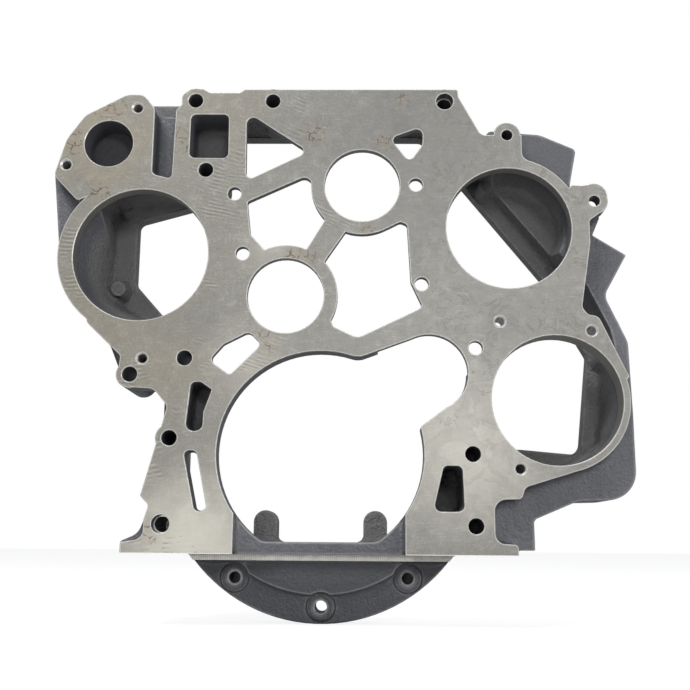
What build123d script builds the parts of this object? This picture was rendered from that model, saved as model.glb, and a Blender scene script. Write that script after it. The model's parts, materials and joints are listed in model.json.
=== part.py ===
"""Cast-iron timing gear case of a diesel engine, one casting.

The frame: +X to the right, +Z up, +Y away from the engine block. The machined face that bolts to
the block lies in the plane y = 0 and looks along -Y. The origin is the crankshaft axis on that face.
Every outline is drawn as it is seen from the block, as (x, z) places about the crankshaft axis.
"""
from build123d import *
import math
import os

# The reach of the whole case, from the crankshaft axis
face_top = 275.5
case_width = 431.8
skin_left = -206.2
skin_right = skin_left + case_width
beyond = 500.0

# Depths, measured back from the block face
case_depth = 75.0
flange_thickness = 12.0
land_thickness = 16.0
web_thickness = 6.0
ring_depth = 10.0
crank_web_thickness = 18.0
arch_setback = 6.0
notch_setback = 18.0
notch_wall_near = 30.0
notch_wall_far = 40.0
notch_left = -130.0
notch_right = -110.0
notch_top = 260.8
lug_thickness = 13.0
skin_thickness = 8.0

# Walls and lands
wall = 8.0
flange_width = 20.0
ring_wall = 11.5
lower_ring_wall = 5.2
pump_ring_wall = 8.5
idler_ring_wall = 10.0
pocket_wall = 5.0
crank_ring_wall = 11.0
chamber_undercut = 2.0
bulge_taper = 18.0
pump_bowl_depth = 47.0
pump_bowl_taper = 10.0
pump_clear_depth = 26.0

# The gear bores and clearances: centre and radius
crank_radius = 73.5
left_bore = (-134.0, 145.5)
left_bore_radius = 50.0
pump_bore = (137.0, 166.5)
pump_bore_radius = 46.0
pump_bowl = (141.0, 175.5)
pump_bowl_radius = 45.5
lower_bore = (168.5, 39.0)
lower_bore_radius = 46.75
idler_radius = 28.0
idlers = [(29.0, 199.0), (-26.5, 114.5)]
gear_clearance = (77.5, 58.0)
gear_clearance_radius = 27.8
shaft_pocket = (-162.0, 231.8)
shaft_pocket_radius = 18.3
shaft_pocket_depth = 25.0
lobe_right = -125.0
lobe_low = 195.0

# Cast pockets that are blind from the block face
square_pocket_depth = 32.0
oil_pocket_depth = 30.0
drain_pocket_depth = 45.0

# Bolt, dowel and tapped holes of the block face
bolt_radius = 5.5
bolt_boss_radius = 10.0
bolt_boss_depth = 50.0
blind_depth = 42.0
through_bolts = [(-97.5, 266.4), (-38.8, 266.0), (-88.0, 211.0), (-98.5, 67.9), (-137.6, 55.9)]
blind_bolts = [(-107.3, 10.2), (107.9, 0.0), (109.3, -50.0)]
dowel_radius = 6.4
dowel_depth = 9.0
dowels = [(91.0, 265.8), (-111.0, -50.0)]
web_hole_radius = 5.0
web_holes = [(-58.7, 146.2), (68.9, 199.4), (72.6, 123.4), (111.0, 76.1), (-65.9, 192.3)]
tap_radius = 3.4
tap_depth = 20.0
tap_boss_radius = 7.5
taps = [(-141.3, 260.4), (-193.0, 214.9), (128.8, 95.7), (194.6, 89.2), (-129.1, 67.5), (141.0, -10.1)]
lug_radius = 10.0
lug_hole_radius = 4.1
top_lug = (137.3, 238.8)
side_lug = (200.5, 187.1)

# The front cover's flange: tapped holes and the bosses behind them
front_tap_radius = 3.4
front_boss_tip_radius = 5.6
front_boss_taper = 12.0
front_boss_height = 16.0
bossed_taps = [(-157.5, 198.5), (-161.0, 131.0), (127.5, 216.0), (214.0, 78.0), (206.0, 4.0)]
flange_taps = [(-82.0, 266.5), (40.0, 272.7), (-114.0, 30.0)]

# The pan rail and the half-moon below it
rail_bottom = -70.0
rail_thickness = 8.5
rail_half_length = 138.3
arch_half_width = 60.0
moon_radius = 120.0
moon_setback = 46.0
moon_bolt_circle = 108.0
moon_bolt_angle = 36.0
moon_spot_radius = 11.0
moon_spot_depth = 1.5
moon_hole_radius = 4.5
moon_tap_radius = 4.25
moon_tap_depth = 15.5
moon_field_radius = 99.5
moon_field_rise = 4.0
strip_height = 4.9
strip_rise = 6.5
drain_half_width = 88.0
drain_near = 22.0
drain_far = 38.0
pan_bolt_radius = 4.5
pan_bolt_edge = 7.8
pan_bolt_row = 48.0

# The two posts of the front flange that stand on the pan rail
post_radius = 8.9
posts = [(-42.6, -47.1), (39.9, -47.1)]
post_near = 57.0

rail_top = rail_bottom + rail_thickness
flange_near = case_depth - flange_thickness
pan_bolt_reach = rail_half_length - pan_bolt_edge
pan_bolts = [(-pan_bolt_reach, pan_bolt_row), (pan_bolt_reach, pan_bolt_row)]
moon_spot = moon_setback + moon_spot_depth


def at(depth):
    """The drawing plane at a depth behind the block face."""
    return Plane.XZ.offset(-depth)


def slab(sketch, near, far, taper=0.0):
    """A sketch made solid from one depth to another, narrowing with depth by a taper in degrees."""
    return extrude(at(near) * sketch, amount=far - near, dir=(0, 1, 0), taper=taper)


def disc(centre, radius):
    return Pos(*centre) * Circle(radius)


def box_area(left, right, low, high):
    return Pos((left + right) / 2, (low + high) / 2) * Rectangle(right - left, high - low)


def outline(*corners):
    """A closed outline of (x, z, corner radius); a radius is never larger than its two sides allow."""
    count = len(corners)
    points = [Vector(x, z) for x, z, _ in corners]
    edges = []
    ends = []
    for i, (_, _, radius) in enumerate(corners):
        here, before, after = points[i], points[i - 1], points[(i + 1) % count]
        back = (before - here).normalized()
        ahead = (after - here).normalized()
        half = math.radians(back.get_angle(ahead)) / 2
        longest = 0.49 * min((before - here).length, (after - here).length)
        reach = min(radius / math.tan(half), longest)
        start, end = here + back * reach, here + ahead * reach
        ends.append((start, end))
        if reach > 0.05:
            to_centre = reach / math.cos(half)
            middle = here + (back + ahead).normalized() * (to_centre - reach * math.tan(half))
            edges.append(ThreePointArc(start, middle, end))
    edges += [Line(ends[i][1], ends[(i + 1) % count][0]) for i in range(count)]
    return make_face(edges)


def each(shapes):
    """The sum of several shapes."""
    total = None
    for shape in shapes:
        total = shape if total is None else total + shape
    return total


def main_face():
    """The machined land that meets the block, without its openings and lugs."""
    plate = outline(
        (-202.0, 206.5, 7), (-194.0, 235.5, 25), (-181.0, 254.5, 14), (-150.0, 271.3, 12),
        (-136.5, 271.3, 9), (-128.3, 260.0, 7), (-128.3, 207.8, 4), (-113.5, 203.6, 3),
        (-112.2, 258.5, 2), (-108.1, 263.0, 2), (-108.1, 271.0, 5), (-101.5, 276.0, 4),
        (-92.0, 276.0, 4), (-86.5, 272.8, 3), (-64.3, 272.8, 1), (-60.3, face_top, 1),
        (100.9, face_top, 1), (101.4, 269.5, 1), (118.0, 238.8, 7), (125.0, 238.8, 0),
        (155.0, 200.0, 0), (186.0, 190.0, 0), (196.3, 172.0, 6), (196.3, 155.0, 20),
        (188.5, 106.5, 5), (192.5, 101.0, 5), (200.0, 100.0, 8), (220.0, 56.0, 0),
        (200.0, 30.0, 0), (184.0, -10.5, 10), (144.0, -23.0, 5), (141.5, -31.2, 4),
        (122.4, -31.8, 8), (122.4, -61.5, 7), (rail_half_length, -62.5, 3),
        (rail_half_length, rail_bottom, 0), (-rail_half_length, rail_bottom, 0),
        (-rail_half_length, -62.5, 1), (-122.7, -60.0, 8), (-122.9, -47.0, 5), (-119.8, -37.0, 3),
        (-126.0, -30.5, 1), (-109.5, 33.0, 6), (-120.0, 45.5, 8), (-137.6, 46.5, 0),
        (-146.5, 52.0, 0), (-145.0, 69.5, 4), (-171.0, 94.0, 6), (-176.0, 190.0, 0), (-183.0, 186.5, 3))
    rings = [disc(left_bore, left_bore_radius + ring_wall),
             disc(pump_bore, pump_bore_radius + pump_ring_wall),
             disc(lower_bore, lower_bore_radius + lower_ring_wall)]
    return each([plate, disc(through_bolts[4], bolt_boss_radius)] + rings)


def lug_pads():
    """The two thin lugs beside the pump bore."""
    top = disc(top_lug, lug_radius) + outline(
        (127.3, 238.8, 0), (122.0, 238.8, 3), (118.0, 225.0, 0), (146.0, 205.0, 0), (158.0, 214.0, 0),
        (148.2, 222.0, 6), (148.2, 238.8, 0))
    side = disc(side_lug, lug_radius) + disc((200.2, 190.8), lug_radius) + outline(
        (176.0, 190.0, 0), (184.0, 199.6, 3), (191.0, 199.2, 5), (196.5, 200.1, 0), (208.0, 190.0, 0),
        (207.0, 180.0, 0), (196.8, 172.5, 5), (190.0, 160.0, 0))
    return top + side


def rounded_near(sketch, place, radius):
    """The sketch with the corner nearest to a place rounded."""
    corner = min(sketch.vertices(), key=lambda v: (Vector(v) - Vector(*place)).length)
    return fillet(corner, radius)


def crank_opening():
    """The crankshaft clearance, with the small gear's clearance that breaks into it."""
    throat = outline((10.0, 62.4, 0), (68.2, 84.0, 0), (92.2, 34.9, 0), (60.0, 10.9, 0))
    clear = disc((0, 0), crank_radius) + disc(gear_clearance, gear_clearance_radius) + throat
    clear = rounded_near(clear, (26.4, 68.6), 14.0)
    clear = rounded_near(clear, (71.0, 18.9), 3.0)
    clear -= box_area(-crank_radius, crank_radius, rail_bottom - crank_radius, rail_top)
    for side in (-1, 1):
        clear = rounded_near(clear, (side * 40.3, rail_top), 10.0)
    return clear


def windows():
    """The lightening windows and the short oil slot that go through the web."""
    upper = outline((-56.2, 186.0, 2.5), (-9.4, 207.8, 6), (-7.0, 188.0, 0), (1.6, 171.9, 2),
                    (-12.5, 148.0, 0), (-42.0, 148.0, 3), (-53.3, 160.8, 3))
    middle = outline((0.8, 139.0, 2), (16.8, 163.0, 0), (48.0, 166.0, 0), (57.2, 170.8, 4),
                     (62.2, 168.6, 3), (64.7, 124.8, 6), (73.4, 106.0, 3.5), (26.0, 83.0, 9),
                     (8.5, 91.5, 3), (5.0, 100.0, 0))
    rings = each([disc(place, idler_radius + idler_ring_wall) for place in idlers])
    triangle = outline((-58.4, 257.1, 5), (-11.3, 225.4, 4), (-57.8, 202.3, 4))
    small = outline((49.8, 236.3, 4), (74.4, 245.6, 5), (74.0, 231.0, 8), (64.3, 217.0, 4))
    slot = outline((-80.6, 66.4, 4), (-70.5, 78.0, 3), (-52.3, 87.4, 5), (-43.2, 78.0, 4), (-65.5, 55.6, 3))
    return (upper + middle - rings) + triangle + small + slot


def oil_slot():
    """The slanted slot beside the left foot."""
    return outline((-96.9, 1.5, 4.4), (-87.6, 1.5, 4.4), (-78.6, -41.0, 4.4), (-87.5, -41.0, 4.4))


def square_pocket():
    return outline((-100.6, 255.2, 4), (-71.9, 255.2, 4), (-71.6, 220.3, 4), (-100.9, 220.6, 4))


def oil_pocket():
    return outline((-93.0, 50.5, 5), (-86.0, 50.5, 3), (-78.0, 45.0, 1.5), (-83.5, 29.0, 6),
                   (-84.0, 15.5, 5), (-96.2, 15.0, 5.5))


def drain_pocket():
    return outline((87.3, -8.3, 3.5), (100.2, -8.3, 4), (101.4, -40.2, 4.5), (79.6, -40.2, 4.5))


def front_opening():
    """The inner edge of the front cover's flange."""
    return outline((-78.0, 262.7, 12), (77.5, 262.7, 8), (178.0, 136.5, 12), (199.0, 93.0, 14),
                   (205.2, 82.0, 5), (196.8, 5.0, 9), (152.0, 9.0, 6), (92.0, 9.0, 10),
                   (80.0, -30.0, 20), (60.0, rail_top, 4), (-92.0, rail_top, 8), (-104.0, -46.0, 8),
                   (-104.0, 86.0, 20), (-151.6, 139.4, 5), (-151.6, 190.4, 6), (-78.0, 211.3, 8))


def chamber_floor():
    """The foot of the gear chamber's walls, just outside the flange's inner edge."""
    return outline((-80.0, 264.5, 8), (90.0, 264.5, 8), (188.5, 143.0, 12), (212.0, 94.0, 14),
                   (214.5, 82.0, 6), (208.0, 3.0, 12), (152.0, 4.0, 6), (92.0, 4.0, 10),
                   (82.0, -30.0, 20), (64.0, rail_top, 4), (-92.0, rail_top, 8), (-106.0, -46.0, 8),
                   (-106.0, 84.0, 20), (-168.5, 126.0, 10), (-168.5, 197.0, 10), (-80.0, 209.0, 6))


def bulges(grow, near):
    """The round chambers of the left and the lower bore, as a core or grown to their outside."""
    big = slab(disc(left_bore, left_bore_radius + chamber_undercut + grow), near, flange_near, bulge_taper)
    low = slab(disc(lower_bore, lower_bore_radius + grow), near, flange_near, bulge_taper / 6)
    return big + low


def pump_chamber():
    """The chamber behind the pump bore, with a shallow bowl that lies a little above the bore."""
    clear = slab(disc(pump_bore, pump_bore_radius + chamber_undercut), ring_depth, pump_clear_depth)
    return clear + slab(disc(pump_bowl, pump_bowl_radius), ring_depth, pump_bowl_depth, pump_bowl_taper)


def pump_housing():
    """The outside of the pump's chamber, kept to the bore's ring and the cast body beside it."""
    ring = disc(pump_bore, pump_bore_radius + chamber_undercut + wall)
    area = (ring + disc(pump_bowl, pump_bowl_radius + wall)) & (ring + right_skin())
    return slab(area, land_thickness, pump_bowl_depth + wall)


def right_skin():
    """The cast body that stands out past the machined face on the right."""
    edge = skin_right
    return outline((edge - 107.6, 238.0, 0), (edge - 99.6, 248.5, 4), (edge - 61.1, 245.5, 16),
                   (edge - 33.8, 233.5, 4), (edge - 39.6, 204.0, 3), (edge - 18.1, 179.5, 2),
                   (edge - 24.0, 165.6, 1), (edge + 0.4, 150.2, 1), (edge - 17.0, 119.0, 10),
                   (edge - 1.2, 84.0, 16), (edge, 30.0, 60), (edge + 0.2, -30.2, 23), (edge - 41.6, -31.4, 12),
                   (edge - 73.6, -45.0, 1), (edge - 73.4, -66.4, 1), (edge - 121.6, -66.4, 0),
                   (edge - 121.6, 0.0, 0), (edge - 35.6, 0.0, 0), (edge - 35.6, 110.0, 0),
                   (edge - 55.6, 190.0, 0), (edge - 105.6, 215.0, 0))


def left_skin():
    """The cast body that shows behind the left lobe, and the flare down to the pan rail."""
    upper = outline((skin_left, 213.5, 3), (-199.6, 157.0, 10), (-190.0, 125.0, 20), (-156.0, 78.5, 3),
                    (-149.3, 62.5, 3), (-130.0, 60.0, 0), (-120.0, 130.0, 0), (-160.0, 200.0, 0),
                    (-180.0, 222.0, 0))
    foot = outline((-108.0, -20.0, 0), (-122.0, -36.0, 8), (-129.5, -56.5, 12), (-142.2, -61.8, 3),
                   (-142.2, rail_bottom, 1), (-100.0, rail_bottom, 0))
    return upper + foot


def lobe():
    """The top left lobe that carries the shaft pocket."""
    return main_face() & box_area(-beyond, lobe_right, lobe_low, beyond)


def moon_places():
    """The three bolt places of the half-moon, on one circle about the crankshaft."""
    turns = [math.radians(270 + step * moon_bolt_angle) for step in (-1, 0, 1)]
    return [(moon_bolt_circle * math.cos(a), moon_bolt_circle * math.sin(a)) for a in turns]


def half_moon():
    """The half-moon that closes the front of the pan, with its raised field and its milled strip."""
    disc_area = disc((0, 0), moon_radius)
    below = box_area(-moon_radius, moon_radius, -moon_radius, rail_bottom + 1)
    strip_area = box_area(-moon_radius, moon_radius, rail_bottom - strip_height, rail_bottom + 1)
    moon = slab(disc_area & below, moon_setback, case_depth)
    field = slab(disc((0, 0), moon_field_radius) & below, moon_setback - moon_field_rise, case_depth)
    strip = slab(disc_area & strip_area, moon_setback - strip_rise, case_depth)
    return moon + field + strip


def chamber():
    """The gear chamber: its core leaves the web, the bore rings and the thicker crank web standing."""
    floor = chamber_floor()
    rings = each([disc(left_bore, left_bore_radius + ring_wall),
                  disc(pump_bore, pump_bore_radius + pump_ring_wall),
                  disc(lower_bore, lower_bore_radius + lower_ring_wall)])
    crank_web = disc((0, 0), crank_radius + crank_ring_wall) + box_area(
        -beyond, beyond, rail_bottom, gear_clearance[1]) + disc(lower_bore, lower_bore_radius + lower_ring_wall)
    upper = floor - crank_web
    core = slab(floor, crank_web_thickness, flange_near)
    core += slab(upper, ring_depth, crank_web_thickness)
    core += slab(upper - rings, web_thickness, ring_depth)
    return core + bulges(0, ring_depth) + pump_chamber()


def outside():
    """The outer form of the casting, still solid."""
    above_rail = box_area(-beyond, beyond, rail_bottom, beyond)
    body = slab(main_face(), 0, land_thickness)
    body += slab(lug_pads(), 0, lug_thickness)
    body += slab(lobe(), 0, shaft_pocket_depth + wall)
    body += slab(offset(chamber_floor(), wall) & above_rail, crank_web_thickness, flange_near)
    body += bulges(wall, land_thickness) + pump_housing()
    body += slab(right_skin() + left_skin(), land_thickness, land_thickness + skin_thickness)
    body += slab(right_skin() - offset(right_skin(), -wall), land_thickness, flange_near)
    body += slab(offset(front_opening(), flange_width) & above_rail, flange_near, case_depth)
    rail = box_area(-rail_half_length, rail_half_length, rail_bottom, rail_top)
    body += slab(rail, land_thickness, case_depth) + half_moon()
    body += slab(box_area(notch_left, notch_right, lobe_low, notch_top), notch_setback, notch_wall_far)
    body += slab(box_area(notch_left - wall, -60.0, lobe_low, face_top), notch_wall_near, notch_wall_far)
    return body


def columns():
    """The bolt columns that run through the chamber, and the bosses behind the front tapped holes."""
    bolt_columns = [slab(disc(place, bolt_boss_radius), 0, bolt_boss_depth)
                    for place in through_bolts + blind_bolts + dowels]
    tap_bosses = [slab(disc(place, front_boss_tip_radius), flange_near - front_boss_height, flange_near,
                       -front_boss_taper) for place in bossed_taps]
    tap_bosses += [slab(disc(place, tap_boss_radius), 0, tap_depth) for place in taps[2:4]]
    pockets = [(square_pocket(), square_pocket_depth), (oil_pocket(), oil_pocket_depth),
               (drain_pocket(), drain_pocket_depth)]
    pocket_walls = [slab(offset(area, pocket_wall), web_thickness, depth + pocket_wall)
                    for area, depth in pockets]
    rail_posts = [slab(disc((x, z), post_radius) + box_area(x - post_radius, x + post_radius, rail_bottom, z),
                       post_near, case_depth) for x, z in posts]
    return each(bolt_columns + tap_bosses + rail_posts + pocket_walls)


def openings():
    """Everything that is cut through or into the block face."""
    bores = [slab(disc(left_bore, left_bore_radius), 0, ring_depth),
             slab(disc(pump_bore, pump_bore_radius), 0, ring_depth),
             slab(disc(lower_bore, lower_bore_radius), 0, crank_web_thickness),
             slab(disc(shaft_pocket, shaft_pocket_radius), 0, shaft_pocket_depth)]
    bores += [slab(disc(place, idler_radius), 0, web_thickness) for place in idlers]
    arch = box_area(-arch_half_width, arch_half_width, rail_bottom - 1, 0)
    cast = [slab(crank_opening(), 0, crank_web_thickness), slab(arch, 0, arch_setback),
            slab(windows(), 0, crank_web_thickness), slab(oil_slot(), 0, crank_web_thickness),
            slab(square_pocket(), 0, square_pocket_depth), slab(oil_pocket(), 0, oil_pocket_depth),
            slab(drain_pocket(), 0, drain_pocket_depth)]
    drain = outline((-drain_half_width, drain_near, 5), (drain_half_width, drain_near, 5),
                    (drain_half_width, drain_far, 5), (-drain_half_width, drain_far, 5))
    cast += [Pos(0, 0, rail_bottom) * extrude(drain, amount=rail_thickness)]
    return each(bores + cast)


def drilled():
    """The drilled and tapped holes of both faces, the half-moon and the pan rail."""
    left_moon, middle_moon, right_moon = moon_places()
    strip_near = moon_setback - strip_rise
    rows = [(through_bolts, bolt_radius, 0, bolt_boss_depth), (blind_bolts, bolt_radius, 0, blind_depth),
            (dowels, dowel_radius, 0, dowel_depth), (dowels, bolt_radius, dowel_depth, bolt_boss_depth),
            (web_holes, web_hole_radius, 0, land_thickness),
            (taps, tap_radius, 0, tap_depth), ([top_lug, side_lug], lug_hole_radius, 0, lug_thickness),
            ([left_moon, middle_moon, right_moon], moon_spot_radius, strip_near, moon_spot),
            ([left_moon, right_moon], moon_tap_radius, moon_spot, moon_spot + moon_tap_depth),
            ([middle_moon], moon_hole_radius, moon_spot, case_depth),
            (bossed_taps + flange_taps + posts, front_tap_radius, flange_near, case_depth)]
    holes = [slab(disc(place, radius), near, far) for places, radius, near, far in rows for place in places]
    pan_hole = extrude(Circle(pan_bolt_radius), amount=rail_thickness)
    holes += [Pos(x, y, rail_bottom) * pan_hole for x, y in pan_bolts]
    return each(holes)


def casting():
    """The whole case: its outside, hollowed, ribbed with its columns, opened and drilled."""
    body = outside() - chamber()
    body -= slab(front_opening(), flange_near, case_depth)
    body += columns()
    body -= openings()
    body -= drilled()
    return body


os.makedirs("parts", exist_ok=True)
export_step(casting(), "parts/timing_cover.step")
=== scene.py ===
import json
import math
import bmesh
import bpy
from mathutils import Matrix, Vector
from mathutils.bvhtree import BVHTree


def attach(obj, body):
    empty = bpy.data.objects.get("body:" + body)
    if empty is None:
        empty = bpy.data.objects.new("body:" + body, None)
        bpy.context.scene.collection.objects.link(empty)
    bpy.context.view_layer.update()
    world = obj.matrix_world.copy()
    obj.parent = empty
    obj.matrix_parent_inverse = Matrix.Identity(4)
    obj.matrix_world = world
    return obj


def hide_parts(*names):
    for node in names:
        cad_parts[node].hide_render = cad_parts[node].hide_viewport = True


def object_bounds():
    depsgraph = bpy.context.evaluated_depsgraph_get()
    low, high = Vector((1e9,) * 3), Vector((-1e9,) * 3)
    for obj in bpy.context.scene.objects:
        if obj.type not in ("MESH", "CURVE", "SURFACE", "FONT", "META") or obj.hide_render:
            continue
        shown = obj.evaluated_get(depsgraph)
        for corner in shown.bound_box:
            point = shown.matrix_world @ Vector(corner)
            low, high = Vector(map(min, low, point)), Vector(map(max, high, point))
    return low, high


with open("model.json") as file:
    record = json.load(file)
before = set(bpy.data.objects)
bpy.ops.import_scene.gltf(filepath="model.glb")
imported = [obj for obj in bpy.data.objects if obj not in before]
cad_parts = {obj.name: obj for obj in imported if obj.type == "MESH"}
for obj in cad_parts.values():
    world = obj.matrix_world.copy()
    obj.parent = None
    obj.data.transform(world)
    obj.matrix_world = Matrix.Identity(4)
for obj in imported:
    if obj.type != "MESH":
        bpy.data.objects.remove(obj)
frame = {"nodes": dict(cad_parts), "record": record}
cad_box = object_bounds()
scene = bpy.context.scene
scene.view_settings.view_transform = "Standard"

# Lengths are in millimetres, in the part's own frame: the block face is at y = 0

MM = 0.001
CASE_DEPTH = 75.0
STRIP_Y = 39.5
STRIP_LOW = -74.9
RAIL_Z = -70.0
SMALLEST_MAIN_BORE = 25.0
FACE_ARC_SPLIT = (60.0, -20.0)
RIGHT_HALF = (20.0, 110.0)

BROKEN_EDGE = 0.45
COUNTERSINK = 1.2
SHARP_ANGLE = math.radians(32)

SEAT_EDGE = 6.0
SEAT_RISE = -0.05
BOSS_RIM = ((SEAT_EDGE, 0.0), (6.2, -0.9), (6.9, -1.6), (8.0, -1.9), (9.2, -1.7), (10.2, -0.9), (11.0, 0.1))
BOSS_REACH = 11.5
BOSS_SIDES = 48

FILLET_VOXEL = 1.5
FILLET_SMOOTHINGS = 36
FILLET_BORDER = 0.6
FILLET_LEAST = 0.25
FILLET_KEPT_SHARE = 0.55

FLOOR_HALF_SIZE = 6.0
FLOOR_GAP = 0.0005

PHOTO_WIDTH_PX = 690.0
FOCAL_LENGTH_PX = 995.58
SENSOR_MM = 36.0

# The finishes, each an index in the casting's list of materials
BLOCK, FRONT, BORED, DRILLED, TAPPED, RIM, STRIP, CAST, PAINTED_SHADE_FLOOR, SEAT = range(10)


# Node helpers

def new_material(name):
    """A material with an empty node tree."""
    mat = bpy.data.materials.new(name)
    mat.use_nodes = True
    mat.node_tree.nodes.clear()
    return mat


class Tree:
    """Short ways to build a shader."""

    def __init__(self, mat):
        self.nodes = mat.node_tree.nodes
        self.links = mat.node_tree.links

    def add(self, kind, inputs=None, **props):
        node = self.nodes.new(kind)
        for key, value in props.items():
            setattr(node, key, value)
        for key, value in (inputs or {}).items():
            self.put(value, node.inputs[key])
        return node

    def put(self, value, socket):
        if hasattr(value, "links"):
            self.links.new(value, socket)
        else:
            socket.default_value = value

    def math(self, op, a, b=0.0, clamp=False):
        return self.add("ShaderNodeMath", {0: a, 1: b}, operation=op, use_clamp=clamp).outputs[0]

    def noise(self, where, scale, detail=3.0, rough=0.55, distort=0.0):
        node = self.add("ShaderNodeTexNoise", {"Vector": where, "Scale": scale, "Detail": detail,
                                               "Roughness": rough, "Distortion": distort})
        return node.outputs["Fac"]

    def ramp(self, value, low, high, a=0.0, b=1.0):
        node = self.add("ShaderNodeMapRange", {"Value": value, "From Min": low, "From Max": high,
                                               "To Min": a, "To Max": b}, interpolation_type="SMOOTHSTEP")
        return node.outputs["Result"]

    def mix(self, fac, a, b, blend="MIX"):
        node = self.add("ShaderNodeMix", {0: fac}, data_type="RGBA", blend_type=blend)
        for value, index in ((a, 6), (b, 7)):
            if isinstance(value, tuple):
                node.inputs[index].default_value = (*value, 1.0)
            else:
                self.links.new(value, node.inputs[index])
        return node.outputs[2]

    def place(self):
        """The place on the object in millimetres, and its x, y and z."""
        where = self.add("ShaderNodeTexCoord").outputs["Object"]
        scaled = self.add("ShaderNodeVectorMath", {0: where, "Scale": 1000.0}, operation="SCALE").outputs[0]
        parts = self.add("ShaderNodeSeparateXYZ", {0: scaled}).outputs
        return scaled, parts[0], parts[1], parts[2]

    def finish(self, colour, rough, metallic, height=None, strength=0.3, distance=0.0002, specular=0.5,
               rounding=0.0):
        shader = self.add("ShaderNodeBsdfPrincipled", {"Metallic": metallic, "Specular IOR Level": specular})
        self.put(rough, shader.inputs["Roughness"])
        if isinstance(colour, tuple):
            shader.inputs["Base Color"].default_value = (*colour, 1.0)
        else:
            self.links.new(colour, shader.inputs["Base Color"])
        if height is not None:
            bump = self.add("ShaderNodeBump", {"Height": height, "Strength": strength, "Distance": distance})
            if rounding:
                soft = self.add("ShaderNodeBevel", {"Radius": rounding}, samples=6)
                self.links.new(soft.outputs["Normal"], bump.inputs["Normal"])
            self.links.new(bump.outputs["Normal"], shader.inputs["Normal"])
        out = self.add("ShaderNodeOutputMaterial")
        self.links.new(shader.outputs[0], out.inputs[0])


def edge_of(t, radius):
    """One at a sharp edge, fading to nothing at the radius from it."""
    round_off = t.add("ShaderNodeBevel", {"Radius": radius}, samples=8).outputs["Normal"]
    true = t.add("ShaderNodeNewGeometry").outputs["True Normal"]
    same = t.add("ShaderNodeVectorMath", {0: round_off, 1: true}, operation="DOT_PRODUCT").outputs["Value"]
    return t.ramp(same, 0.992, 0.90)


def distance_from(t, x, z, place):
    """How far a point lies from a place on the face."""
    dx = t.math("SUBTRACT", x, place[0])
    dz = t.math("SUBTRACT", z, place[1])
    return t.math("SQRT", t.math("ADD", t.math("MULTIPLY", dx, dx), t.math("MULTIPLY", dz, dz)))


def near_place(t, ragged, x, z, place, reach, torn=1.6, core=0.35):
    """One at a place on the face, fading to nothing at its reach, with a torn edge."""
    away = distance_from(t, x, z, place)
    return t.ramp(t.math("ADD", away, t.math("MULTIPLY", ragged, torn * reach)), reach, core * reach)


def cutter_arcs(t, x, z, wander, centre, radius, pitch):
    """The waves that a face mill of this radius leaves as it moves on by its pitch."""
    dx = t.math("SUBTRACT", x, centre)
    inside = t.math("SUBTRACT", radius * radius, t.math("MULTIPLY", dx, dx))
    arc = t.math("SQRT", t.math("MAXIMUM", inside, 1.0))
    path = t.math("ADD", t.math("SUBTRACT", z, arc), wander)
    return t.math("SINE", t.math("MULTIPLY", path, 2 * math.pi / pitch))


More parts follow.
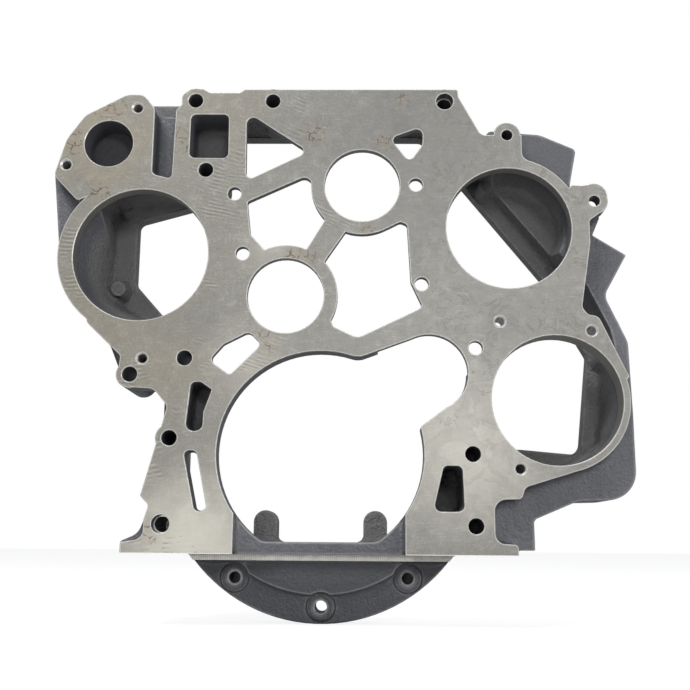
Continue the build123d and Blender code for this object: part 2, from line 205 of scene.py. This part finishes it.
def milled(name, stains, darker_patches, light_patches, cracks):
    """A face-milled iron face: cutter arcs, clouds, grain, scratches, specks, stains, cracks, patches of
    painted light, and lighter lines along the edges, partly scraped metal and partly painted highlight.

    Stains, darker patches and patches of painted light are (place, reach, strength), cracks are (place, reach).
    """
    mat = new_material(name)
    t = Tree(mat)
    where, x, _, z = t.place()
    drift = t.math("ADD", t.math("MULTIPLY", t.noise(where, 0.010, 2.0), 26.0),
                   t.math("MULTIPLY", t.noise(where, 0.055, 3.0), 4.0))
    broad = cutter_arcs(t, x, z, drift, -150.0, 360.0, 3.1)
    low = cutter_arcs(t, x, z, drift, -75.0, 190.0, 3.6)
    steep = cutter_arcs(t, x, z, drift, 300.0, 420.0, 2.1)
    lower = t.ramp(z, *FACE_ARC_SPLIT)
    right = t.ramp(x, *RIGHT_HALF)
    upper = t.math("SUBTRACT", 1.0, lower)
    left_wave = t.math("ADD", t.math("MULTIPLY", low, lower), t.math("MULTIPLY", broad, upper))
    wave = t.math("ADD", t.math("MULTIPLY", steep, t.math("MULTIPLY", right, 0.35)),
                  t.math("MULTIPLY", left_wave, t.math("SUBTRACT", 1.0, right)))
    patches = t.ramp(t.noise(where, 0.020, 3.0, 0.6), 0.40, 0.62, 0.0, 1.0)
    broken = t.ramp(t.noise(where, 0.060, 5.0, 0.7, 0.6), 0.38, 0.60, 0.15, 1.0)
    wave = t.math("MULTIPLY", wave, t.math("MULTIPLY", patches, broken))
    clouds = t.noise(where, 0.024, 6.0, 0.62, 0.5)
    mottle = t.noise(where, 0.13, 7.0, 0.70, 0.4)
    grain = t.noise(where, 0.62, 5.0, 0.80)
    speck = t.noise(where, 1.1, 4.0, 0.8)
    stretched = t.add("ShaderNodeMapping", {"Vector": where, "Rotation": (0.0, 0.9, 0.0),
                                            "Scale": (0.10, 1.0, 1.5)}).outputs[0]
    scratch = t.noise(stretched, 0.8, 3.0, 0.7)
    side = t.ramp(x, 60.0, -150.0)
    colour = t.mix(side, (0.176, 0.171, 0.155), (0.180, 0.173, 0.146))
    colour = t.mix(t.ramp(clouds, 0.38, 0.64, 0.0, 0.42), colour, (0.150, 0.144, 0.132))
    colour = t.mix(t.ramp(mottle, 0.50, 0.68, 0.0, 0.26), colour, (0.340, 0.330, 0.305))
    colour = t.mix(t.ramp(mottle, 0.50, 0.32, 0.0, 0.28), colour, (0.110, 0.104, 0.092))
    colour = t.mix(t.ramp(grain, 0.50, 0.72, 0.0, 0.42), colour, (0.400, 0.390, 0.362))
    colour = t.mix(t.ramp(grain, 0.50, 0.28, 0.0, 0.52), colour, (0.085, 0.080, 0.070))
    colour = t.mix(t.ramp(scratch, 0.56, 0.72, 0.0, 0.30), colour, (0.50, 0.49, 0.46))
    colour = t.mix(t.ramp(scratch, 0.42, 0.28, 0.0, 0.30), colour, (0.140, 0.132, 0.120))
    ragged = t.math("SUBTRACT", t.noise(where, 0.07, 5.0, 0.65), 0.5)
    # Painted light: lighter patches where the face catches more light
    for place, reach, much in light_patches:
        patch = near_place(t, ragged, x, z, place, reach, 0.6, 0.0)
        colour = t.mix(t.math("MULTIPLY", patch, much), colour, (0.50, 0.480, 0.42))
    # Darker patches on the face
    for place, reach, much in darker_patches:
        patch = near_place(t, ragged, x, z, place, reach)
        colour = t.mix(t.math("MULTIPLY", patch, much), colour, (0.10, 0.098, 0.094))
    shaken = t.add("ShaderNodeTexNoise", {"Vector": where, "Scale": 0.20, "Detail": 3.0}).outputs["Color"]
    moved = t.add("ShaderNodeVectorMath", {0: shaken, 1: (7.0, 7.0, 7.0), 2: where},
                  operation="MULTIPLY_ADD").outputs[0]
    cells = t.add("ShaderNodeTexVoronoi", {"Vector": moved, "Scale": 0.15},
                  feature="DISTANCE_TO_EDGE").outputs["Distance"]
    here = t.ramp(t.noise(where, 0.12, 3.0, 0.6), 0.45, 0.53)
    thin = t.math("MULTIPLY", t.ramp(cells, 0.072, 0.022), here)
    brown = 0.0
    for place, reach, much in stains:
        brown = t.math("MAXIMUM", brown, t.math("MULTIPLY", near_place(t, ragged, x, z, place, reach), much))
    colour = t.mix(t.math("MULTIPLY", brown, 0.34), colour, (0.225, 0.185, 0.120))
    crazed = t.math("MULTIPLY", brown, 0.20)
    for place, reach in cracks:
        crazed = t.math("MAXIMUM", crazed, near_place(t, ragged, x, z, place, reach))
    colour = t.mix(t.math("MULTIPLY", crazed, 0.18), colour, (0.20, 0.155, 0.095))
    colour = t.mix(t.math("MULTIPLY", thin, t.math("MULTIPLY", crazed, 0.90)), colour, (0.060, 0.038, 0.020))
    colour = t.mix(t.ramp(wave, 0.40, 0.94, 0.0, 0.52), colour, (0.085, 0.073, 0.056))
    colour = t.mix(t.ramp(wave, -0.30, -0.95, 0.0, 0.22), colour, (0.50, 0.485, 0.44))
    puddle = t.noise(where, 0.034, 4.0, 0.60, 1.6)
    shore = t.ramp(t.math("ABSOLUTE", t.math("SUBTRACT", puddle, 0.54)), 0.018, 0.004)
    pooled = t.math("MULTIPLY", t.ramp(right, 0.0, 1.0, 0.10, 0.62), t.ramp(z, -10.0, 70.0, 0.3, 1.0))
    colour = t.mix(t.math("MULTIPLY", shore, pooled), colour, (0.110, 0.102, 0.088))
    colour = t.mix(t.math("MULTIPLY", t.ramp(puddle, 0.54, 0.56), t.ramp(right, 0.0, 1.0, 0.05, 0.16)), colour,
                   (0.180, 0.174, 0.160))
    colour = t.mix(t.ramp(speck, 0.60, 0.74, 0.0, 0.70), colour, (0.080, 0.075, 0.068))
    # Lighter lines along the sharp edges: partly scraped bare metal, partly painted highlight
    colour = t.mix(t.math("MULTIPLY", edge_of(t, 0.0013), 0.85), colour, (0.72, 0.71, 0.67))
    rough = t.ramp(grain, 0.3, 0.7, 0.38, 0.56)
    height = t.math("SUBTRACT", t.math("MULTIPLY", scratch, 0.8), t.math("ADD", t.math("MULTIPLY", wave, 0.5),
                                                                        t.math("MULTIPLY", speck, 0.8)))
    t.finish(colour, rough, 0.30, height, 0.22, 0.0002)
    return mat


def cast_skin():
    """The dark sand-cast skin: fine grain and shallow pits, with painted shade in its hollows and painted
    highlights on its convex edges.

    It is lighter inside the chambers, as painted light where the lamps barely reach, and on the front cover's
    side, and darker on the half-moon and on the shoulder beside the pump bore.
    """
    mat = new_material("cast_skin")
    t = Tree(mat)
    where, x, y, z = t.place()
    grain = t.noise(where, 0.55, 5.0, 0.74)
    coarse = t.noise(where, 0.22, 4.0, 0.62)
    slow = t.noise(where, 0.016, 4.0, 0.55, 0.4)
    pits = t.add("ShaderNodeTexVoronoi", {"Vector": where, "Scale": 0.42}, feature="F1").outputs["Distance"]
    hollow = t.add("ShaderNodeAmbientOcclusion", {"Distance": 0.010}, samples=8).outputs["AO"]
    colour = t.mix(t.ramp(slow, 0.34, 0.66), (0.062, 0.064, 0.073), (0.082, 0.084, 0.095))
    colour = t.mix(t.ramp(grain, 0.52, 0.76, 0.0, 0.34), colour, (0.22, 0.22, 0.235))
    colour = t.mix(t.ramp(grain, 0.50, 0.30, 0.0, 0.42), colour, (0.030, 0.030, 0.034))
    colour = t.mix(t.ramp(coarse, 0.54, 0.36, 0.0, 0.20), colour, (0.040, 0.040, 0.045))
    colour = t.mix(t.ramp(z, -62.0, -80.0, 0.0, 0.55), colour, (0.022, 0.023, 0.028))
    inner = t.math("MULTIPLY", t.ramp(y, 20.0, 40.0), t.ramp(z, -78.0, -58.0))
    _, bore_x, bore_z, bore_radius, _, _ = next(hole for hole in holes if hole[0] == "pump_bore")
    away = distance_from(t, x, z, (bore_x, bore_z))
    shoulder = t.math("MULTIPLY", t.ramp(away, bore_radius + 2.0, bore_radius + 8.0),
                      t.math("MULTIPLY", t.ramp(x, 70.0, 110.0), t.ramp(z, 90.0, 140.0)))
    inner = t.math("MULTIPLY", inner, t.math("SUBTRACT", 1.0, shoulder))
    facing = t.add("ShaderNodeSeparateXYZ", {0: t.add("ShaderNodeTexCoord").outputs["Normal"]}).outputs[1]
    inner = t.math("MAXIMUM", inner, t.math("MULTIPLY", t.ramp(facing, 0.2, 0.7), t.ramp(y, 2.0, 5.0)))
    colour = t.mix(t.math("MULTIPLY", shoulder, 0.35), colour, (0.030, 0.031, 0.036))
    # Painted light in the chambers, which the lamps barely reach; faces turned to the front cover's side are
    # made lighter with them
    colour = t.mix(t.math("MULTIPLY", inner, 0.38), colour, (0.31, 0.30, 0.285))
    # Painted shade in the chambers' hollows, from wide ambient occlusion
    deep = t.add("ShaderNodeAmbientOcclusion", {"Distance": 0.026}, samples=8).outputs["AO"]
    colour = t.mix(t.math("MULTIPLY", t.ramp(deep, 0.50, 0.22), t.math("MULTIPLY", inner, 0.55)), colour,
                   (0.020, 0.020, 0.020))
    # Painted highlight on the convex edges
    painted_edge_highlight = t.math("MULTIPLY", edge_of(t, 0.0035), t.ramp(hollow, 0.70, 0.95))
    colour = t.mix(t.math("MULTIPLY", painted_edge_highlight, 0.42), colour, (0.38, 0.38, 0.39))
    # Painted shade in corners and creases, from ambient occlusion
    colour = t.mix(t.ramp(hollow, 0.70, 0.20, 0.0, 0.80), colour, (0.014, 0.014, 0.015))
    rough = t.ramp(coarse, 0.3, 0.7, 0.34, 0.50)
    height = t.math("ADD", t.math("MULTIPLY", grain, 0.9),
                    t.math("ADD", t.math("MULTIPLY", coarse, 1.3), t.math("MULTIPLY", pits, 0.45)))
    t.finish(colour, rough, 0.0, height, t.ramp(inner, 0.0, 1.0, 0.42, 1.0), 0.0022, 0.50, 0.0026)
    return mat


def turned(name, ridge, groove, pitch, rough):
    """A bored, drilled or threaded wall, with rings along Y."""
    mat = new_material(name)
    t = Tree(mat)
    where, _, y, _ = t.place()
    rings = t.math("SINE", t.math("MULTIPLY", y, 2 * math.pi / pitch))
    clouds = t.noise(where, 0.08, 4.0, 0.6)
    colour = t.mix(t.ramp(rings, -0.4, 0.9), groove, ridge)
    between = tuple(0.5 * (a + b) for a, b in zip(ridge, groove))
    colour = t.mix(t.ramp(clouds, 0.35, 0.7, 0.0, 0.6), colour, between)
    t.finish(colour, rough, 0.5, rings, 0.2, 0.0001)
    return mat


def tooled_strip():
    """The milled step of the half-moon, with close upright tool marks."""
    mat = new_material("tooled_strip")
    t = Tree(mat)
    where, x, _, z = t.place()
    lines = t.math("SINE", t.math("MULTIPLY", x, 2 * math.pi / 1.6))
    clouds = t.noise(where, 0.15, 4.0, 0.6)
    colour = t.mix(t.ramp(lines, -0.2, 1.0, 0.0, 0.5), (0.50, 0.485, 0.45), (0.27, 0.26, 0.24))
    colour = t.mix(t.ramp(clouds, 0.4, 0.75, 0.0, 0.4), colour, (0.2, 0.19, 0.175))
    t.finish(colour, 0.42, 0.45, lines, 0.15, 0.0002)
    return mat


def plain_iron(name, base, rough, metallic):
    """Iron of one colour, a little clouded."""
    mat = new_material(name)
    t = Tree(mat)
    where, _, _, _ = t.place()
    clouds = t.noise(where, 0.35, 4.0, 0.6)
    colour = t.mix(t.ramp(clouds, 0.35, 0.7), base, tuple(0.65 * c for c in base))
    t.finish(colour, rough, metallic, clouds, 0.15, 0.0003)
    return mat


# The casting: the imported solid's faces, sorted by how the real ones are finished

# Each hole is its mount's name, x, z, radius, near depth and far depth

holes = []
for mount in frame["record"]["mounts"]:
    if mount["kind"] in ("bore", "threaded_hole"):
        px, py, pz = (c / MM for c in mount["pos_m"])
        half = mount["dims"]["length_mm"] / 2
        holes.append((mount["name"], px, pz, mount["dims"]["r_mm"], py - half, py + half))


def finish_of(centre, normal):
    """Which finish a face of the solid has, from its place and the way it looks."""
    x, y, z = centre / MM
    if normal.y < -0.99 and abs(y) < 0.01:
        return BLOCK
    if normal.y > 0.99 and abs(y - CASE_DEPTH) < 0.01:
        return FRONT
    if normal.z < -0.99 and abs(z - RAIL_Z) < 0.01:
        return FRONT
    if normal.y < -0.99 and abs(y - STRIP_Y) < 0.01:
        return STRIP
    for name, hx, hz, radius, near, far in holes:
        away = math.hypot(x - hx, z - hz)
        if near - 1.3 < y < far + 0.3 and away < radius + 1.4:
            if normal.y < -0.3 and y < near + 0.1:
                return RIM
            if abs(normal.y) < 0.3 and away < radius + 0.05:
                if radius > SMALLEST_MAIN_BORE:
                    return BORED
                return TAPPED if "tap" in name else DRILLED
            # Painted shade: the floors of the small holes and pockets are near black
            if normal.y < -0.9 and away < radius and radius < SMALLEST_MAIN_BORE:
                # Painted light: the dowel seats' steps take the light rim colour, though they lie in shade
                return RIM if name.startswith("dowel") else PAINTED_SHADE_FLOOR
    return CAST


def dressed_casting(materials, fillets):
    """The solid's mesh with a finish for each face, broken edges on the block face, and the fillets laid in."""
    mesh = frame["nodes"]["timing_cover"].data.copy()
    mesh.name = "casting"
    bm = bmesh.new()
    bm.from_mesh(mesh)
    bmesh.ops.remove_doubles(bm, verts=bm.verts, dist=2e-6)
    bmesh.ops.dissolve_degenerate(bm, edges=bm.edges, dist=1e-6)
    bm.normal_update()
    for face in bm.faces:
        face.material_index = finish_of(face.calc_center_median(), face.normal)
        face.smooth = True
    for indices, offset in (((TAPPED,), COUNTERSINK), ((BORED, DRILLED, CAST), BROKEN_EDGE)):
        rims = [e for e in bm.edges if len(e.link_faces) == 2
                and sum(f.material_index == BLOCK for f in e.link_faces) == 1
                and any(f.material_index in indices for f in e.link_faces)]
        bmesh.ops.bevel(bm, geom=rims, offset=offset * MM, segments=1, profile=0.5, affect="EDGES",
                        clamp_overlap=False, material=RIM, loop_slide=False)
    boss_rings(bm)
    bm.from_mesh(fillets)
    mesh.materials.clear()
    for material in materials:
        mesh.materials.append(material)
    bm.to_mesh(mesh)
    bm.free()
    if "custom_normal" in mesh.attributes:
        mesh.attributes.remove(mesh.attributes["custom_normal"])
    mesh.set_sharp_from_angle(angle=SHARP_ANGLE)
    piece = bpy.data.objects.new("casting", mesh)
    scene.collection.objects.link(piece)
    return piece


def boss_rings(bm):
    """The rounded rims of the half-moon's three bolt seats, and the milled seats inside them."""
    turns = [2 * math.pi * i / BOSS_SIDES for i in range(BOSS_SIDES)]
    for name, hx, hz, radius, near, _ in holes:
        if not name.startswith("moon"):
            continue
        rows = []
        for r, rise in ((radius, SEAT_RISE), (SEAT_EDGE, SEAT_RISE)) + BOSS_RIM:
            ring = [(hx + r * math.cos(a), near + rise, hz + r * math.sin(a)) for a in turns]
            rows.append([bm.verts.new([c * MM for c in place]) for place in ring])
        for k, (inner, outer) in enumerate(zip(rows, rows[1:])):
            for i in range(BOSS_SIDES):
                face = bm.faces.new((inner[i], inner[i - 1], outer[i - 1], outer[i]))
                face.normal_update()
                if face.normal.y > 0:
                    face.normal_flip()
                face.smooth = True
                face.material_index = SEAT if k == 0 else CAST


def evaluated(piece):
    """A piece's mesh with its modifiers applied."""
    depsgraph = bpy.context.evaluated_depsgraph_get()
    mesh = bpy.data.meshes.new_from_object(piece.evaluated_get(depsgraph))
    piece.modifiers.clear()
    return mesh


def is_machined(x, y, z):
    """Whether a place lies on a machined face, the milled strip, a hole or a bore, where no fillet belongs."""
    if y < 1.0 or y > CASE_DEPTH - 1.0 or (y < STRIP_Y + 1.5 and STRIP_LOW - 0.4 < z < RAIL_Z):
        return True
    for name, hx, hz, radius, near, far in holes:
        reach = BOSS_REACH if name.startswith("moon") else radius + 1.5
        if near - 2 < y < far + 2 and math.hypot(x - hx, z - hz) < reach:
            return True
    return False


def cast_fillets(source):
    """The rounded inner corners of the casting: a softened copy of it, kept where it stands out of it."""
    bm = bmesh.new()
    bm.from_mesh(source.data)
    bmesh.ops.remove_doubles(bm, verts=bm.verts, dist=2e-6)
    mesh = bpy.data.meshes.new("cast_fillets")
    bm.to_mesh(mesh)
    tree = BVHTree.FromBMesh(bm)
    bm.free()
    piece = bpy.data.objects.new("cast_fillets", mesh)
    scene.collection.objects.link(piece)
    remesh = piece.modifiers.new("remesh", "REMESH")
    remesh.mode = "VOXEL"
    remesh.voxel_size = FILLET_VOXEL * MM
    smooth = piece.modifiers.new("smooth", "SMOOTH")
    smooth.factor = 0.5
    smooth.iterations = FILLET_SMOOTHINGS
    soft = evaluated(piece)
    bm = bmesh.new()
    bm.from_mesh(soft)
    sunk = {}
    for v in bm.verts:
        place, normal, _, _ = tree.find_nearest(v.co)
        out = (v.co - place).dot(normal) / MM
        if out < FILLET_BORDER:
            v.co -= normal * min(0.8 * (FILLET_BORDER - out), 0.7) * MM
        sunk[v] = is_machined(*(v.co / MM)) or out < FILLET_LEAST
    hidden = [f for f in bm.faces if all(sunk[v] for v in f.verts)]
    bmesh.ops.delete(bm, geom=hidden, context="FACES")
    bm.to_mesh(soft)
    bm.free()
    piece.data = soft
    fewer = piece.modifiers.new("fewer", "DECIMATE")
    fewer.ratio = FILLET_KEPT_SHARE
    thin = evaluated(piece)
    for face in thin.polygons:
        face.use_smooth = True
        face.material_index = CAST
    bpy.data.objects.remove(piece)
    return thin


# Marks on the block face, and patches of painted light on it: places are (x, z)
STAINS = (((-165.0, 235.0), 50.0, 0.9), ((-150.0, 110.0), 55.0, 0.5), ((-110.0, 60.0), 40.0, 0.45),
          ((-70.0, 255.0), 40.0, 0.3))
DARKER_PATCHES = (((70.0, 230.0), 110.0, 0.38), ((150.0, 130.0), 60.0, 0.14), ((62.0, 134.0), 26.0, 0.28),
           ((130.0, 95.0), 16.0, 0.32), ((56.0, 246.0), 12.0, 0.36), ((92.0, 168.0), 34.0, 0.22),
           ((-98.0, 96.0), 30.0, 0.16), ((-30.0, 240.0), 40.0, 0.14))
# Patches of painted light on the face
LIGHT_PATCHES = (((105.0, 0.0), 85.0, 0.52), ((-90.0, -62.0), 70.0, 0.74), ((-52.0, 66.0), 44.0, 0.26),
          ((-40.0, 150.0), 36.0, 0.20))
CRACKS = (((-163.0, 262.0), 18.0), ((-190.0, 232.0), 14.0), ((-106.0, 236.0), 18.0), ((-166.0, 190.0), 14.0),
          ((-7.0, 240.0), 12.0), ((-16.0, 145.0), 16.0), ((59.0, 267.0), 7.0), ((47.0, 232.0), 10.0),
          ((35.0, 164.0), 10.0), ((-73.0, 277.0), 9.0), ((-42.0, 80.0), 13.0), ((-118.0, -54.0), 11.0))
materials = [None] * (SEAT + 1)
materials[BLOCK] = milled("milled_block_face", STAINS, DARKER_PATCHES, LIGHT_PATCHES, CRACKS)
materials[FRONT] = milled("milled_front_face", STAINS[1:3], DARKER_PATCHES[2:3], LIGHT_PATCHES[1:2], CRACKS[:2])
materials[BORED] = turned("bored_wall", (0.235, 0.225, 0.205), (0.120, 0.115, 0.104), 0.8, 0.40)
materials[DRILLED] = turned("drilled_wall", (0.135, 0.135, 0.150), (0.085, 0.085, 0.096), 0.9, 0.5)
# Painted light: far lighter thread crests inside the tapped holes, where little lamp light reaches
materials[TAPPED] = turned("threaded_wall_painted_light", (0.85, 0.83, 0.80), (0.070, 0.068, 0.064), 1.25, 0.30)
materials[SEAT] = plain_iron("milled_seat", (0.15, 0.15, 0.155), 0.42, 0.4)
# Painted shade for the floors of the small holes and pockets
materials[PAINTED_SHADE_FLOOR] = plain_iron("pocket_floor_painted_shade", (0.026, 0.026, 0.029), 0.6, 0.0)
# The chamfered rims: partly scraped bare metal, partly painted highlight
materials[RIM] = plain_iron("deburred_rim_painted_highlight", (0.60, 0.59, 0.56), 0.34, 0.5)
materials[STRIP] = tooled_strip()
materials[CAST] = cast_skin()

casting = dressed_casting(materials, cast_fillets(frame["nodes"]["timing_cover"]))
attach(casting, "root")
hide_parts("timing_cover")


# Studio: pale floor, white backdrop, soft light, the photo's camera

def white_for_rays(name, lit, glow_share, shade):
    """A pale surface that the camera and glass see as white, with some of its shadow kept."""
    mat = new_material(name)
    t = Tree(mat)
    path = t.add("ShaderNodeLightPath").outputs
    seen = t.math("MAXIMUM", path["Is Camera Ray"], path["Is Transmission Ray"])
    diffuse = t.add("ShaderNodeBsdfDiffuse", {"Color": (lit, lit, lit, 1.0)}).outputs[0]
    faint = t.add("ShaderNodeBsdfDiffuse", {"Color": (shade, shade, shade, 1.0)}).outputs[0]
    glow = t.add("ShaderNodeEmission", {"Color": (1.0, 1.0, 1.0, 1.0), "Strength": glow_share}).outputs[0]
    white = t.add("ShaderNodeAddShader", {0: faint, 1: glow}).outputs[0]
    both = t.add("ShaderNodeMixShader", {0: seen, 1: diffuse, 2: white})
    out = t.add("ShaderNodeOutputMaterial")
    t.links.new(both.outputs[0], out.inputs[0])
    return mat


def floor_plane():
    """The pale floor just under the casting."""
    bm = bmesh.new()
    bmesh.ops.create_grid(bm, x_segments=1, y_segments=1, size=FLOOR_HALF_SIZE)
    mesh = bpy.data.meshes.new("floor")
    bm.to_mesh(mesh)
    bm.free()
    mesh.materials.append(white_for_rays("pale_floor", 0.45, 0.86, 0.24))
    floor = bpy.data.objects.new("floor", mesh)
    floor.location = (0.0, 0.0, cad_box[0][2] - FLOOR_GAP)
    scene.collection.objects.link(floor)


def studio_world():
    """Soft light from all round, with a white backdrop for the camera."""
    world = bpy.data.worlds.new("studio")
    scene.world = world
    world.use_nodes = True
    t = Tree(world)
    t.nodes.clear()
    path = t.add("ShaderNodeLightPath").outputs
    soft = t.add("ShaderNodeBackground", {"Color": (0.93, 0.96, 1.0, 1.0), "Strength": 0.32}).outputs[0]
    white = t.add("ShaderNodeBackground", {"Color": (1.0, 1.0, 1.0, 1.0), "Strength": 1.0}).outputs[0]
    both = t.add("ShaderNodeMixShader", {0: path["Is Camera Ray"], 1: soft, 2: white})
    out = t.add("ShaderNodeOutputWorld")
    t.links.new(both.outputs[0], out.inputs[0])


def area_lamp(name, place, target, size, power):
    """A rectangular lamp in metres and watts, turned to its target."""
    data = bpy.data.lights.new(name, "AREA")
    data.shape = "RECTANGLE"
    data.size, data.size_y = size
    data.energy = power
    lamp = bpy.data.objects.new(name, data)
    lamp.location = place
    lamp.rotation_euler = (Vector(target) - Vector(place)).to_track_quat("-Z", "Y").to_euler()
    scene.collection.objects.link(lamp)


def photo_camera():
    """The camera as it was solved from the photo."""
    data = bpy.data.cameras.new("camera")
    data.sensor_fit = "HORIZONTAL"
    data.sensor_width = SENSOR_MM
    data.lens = SENSOR_MM * FOCAL_LENGTH_PX / PHOTO_WIDTH_PX
    data.clip_start = 0.01
    data.clip_end = 50.0
    camera = bpy.data.objects.new("camera", data)
    turn = Matrix(((0.999851, -0.004348, 0.016689), (0.015528, -0.194106, -0.980858),
                   (0.007504, 0.980971, -0.194009)))
    camera.matrix_world = Matrix.Translation((0.02909, -0.70310, -0.06125)) @ turn.to_4x4()
    scene.collection.objects.link(camera)
    scene.camera = camera


floor_plane()
studio_world()
area_lamp("key", (-0.7, -1.0, 1.5), (0.0, 0.0, 0.08), (0.6, 0.5), 24.0)
area_lamp("fill", (0.30, -1.5, 0.50), (0.0, 0.0, 0.10), (0.25, 0.25), 8.0)
area_lamp("low_front", (-0.4, -2.0, -0.05), (0.0, 0.0, 0.0), (0.5, 0.4), 10.0)
area_lamp("right", (1.5, -0.9, 0.3), (0.0, 0.0, 0.05), (0.5, 1.0), 13.0)
area_lamp("top", (0.1, -0.1, 1.7), (0.0, 0.0, 0.08), (1.4, 0.5), 8.0)
photo_camera()
